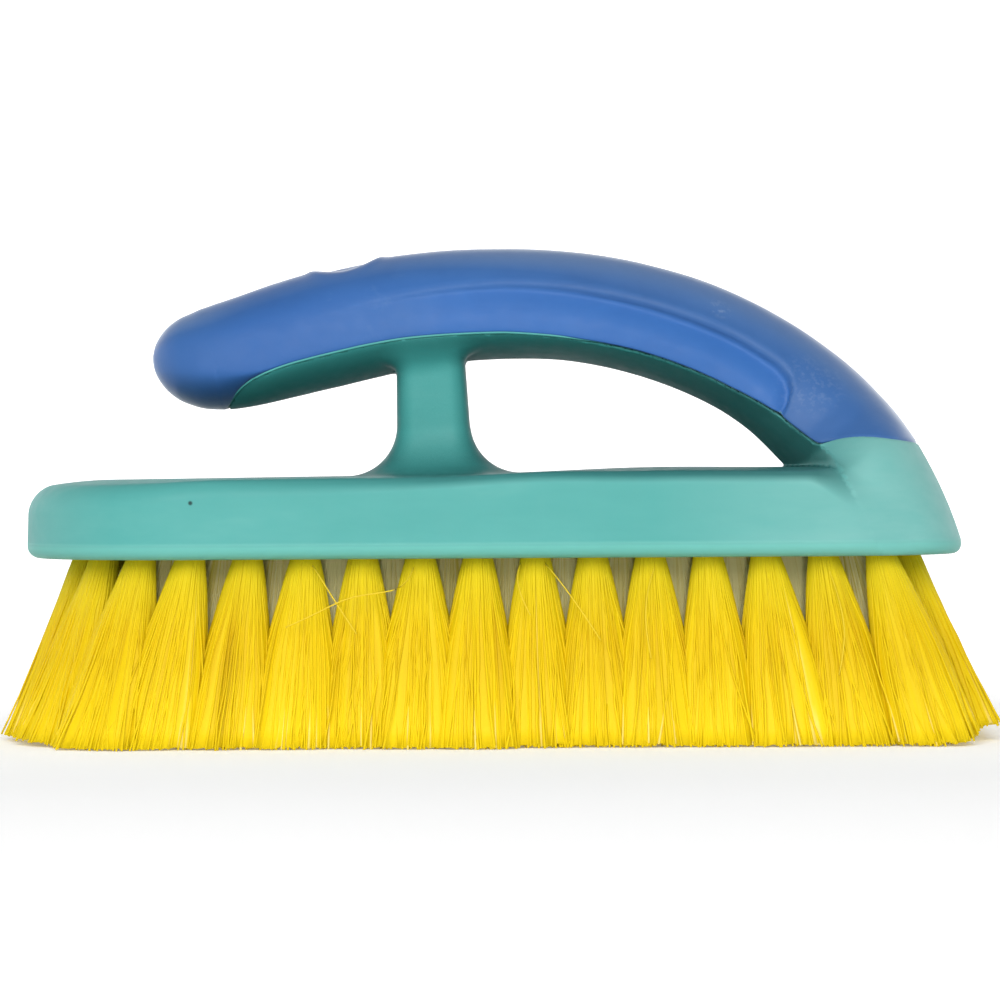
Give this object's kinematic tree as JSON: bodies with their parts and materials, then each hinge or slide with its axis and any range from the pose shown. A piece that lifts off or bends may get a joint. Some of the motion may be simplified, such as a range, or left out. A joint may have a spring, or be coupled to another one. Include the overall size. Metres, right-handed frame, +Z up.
{
  "type": "scrub brush",
  "caption": "Hand scrub brush: round-nosed block on flared bristle tufts, with an arched handle on a post that sweeps down into the heel and carries a soft moulded-on grip.",
  "frame": {"origin": "on the plane of the trimmed bristle tips, under the middle of the brush's overall length and width", "axes": "+Z up from the tips to the handle, +X from the round nose to the heel, +Y across the block"},
  "size_m": [0.1728, 0.0662, 0.0861],
  "materials": {
    "body": "satin turquoise polypropylene moulding",
    "grip": "matt blue thermoplastic elastomer, moulded over the handle",
    "bristle": "yellow straight synthetic filament, trimmed level",
    "anchor": "flat galvanised anchor wire"
  },
  "bodies": {
    "root": {"block_handle": "body", "grip": "grip", "front_edge_tufts": "bristle", "back_edge_tufts": "bristle", "nose_arc_tufts": "bristle", "heel_edge_tufts": "bristle", "front_inner_tufts": "bristle", "back_inner_tufts": "bristle", "centre_row_tufts": "bristle", "front_edge_anchors": "anchor", "back_edge_anchors": "anchor", "nose_arc_anchors": "anchor", "heel_edge_anchors": "anchor", "front_inner_anchors": "anchor", "back_inner_anchors": "anchor", "centre_row_anchors": "anchor"}
  },
  "joints": []
}
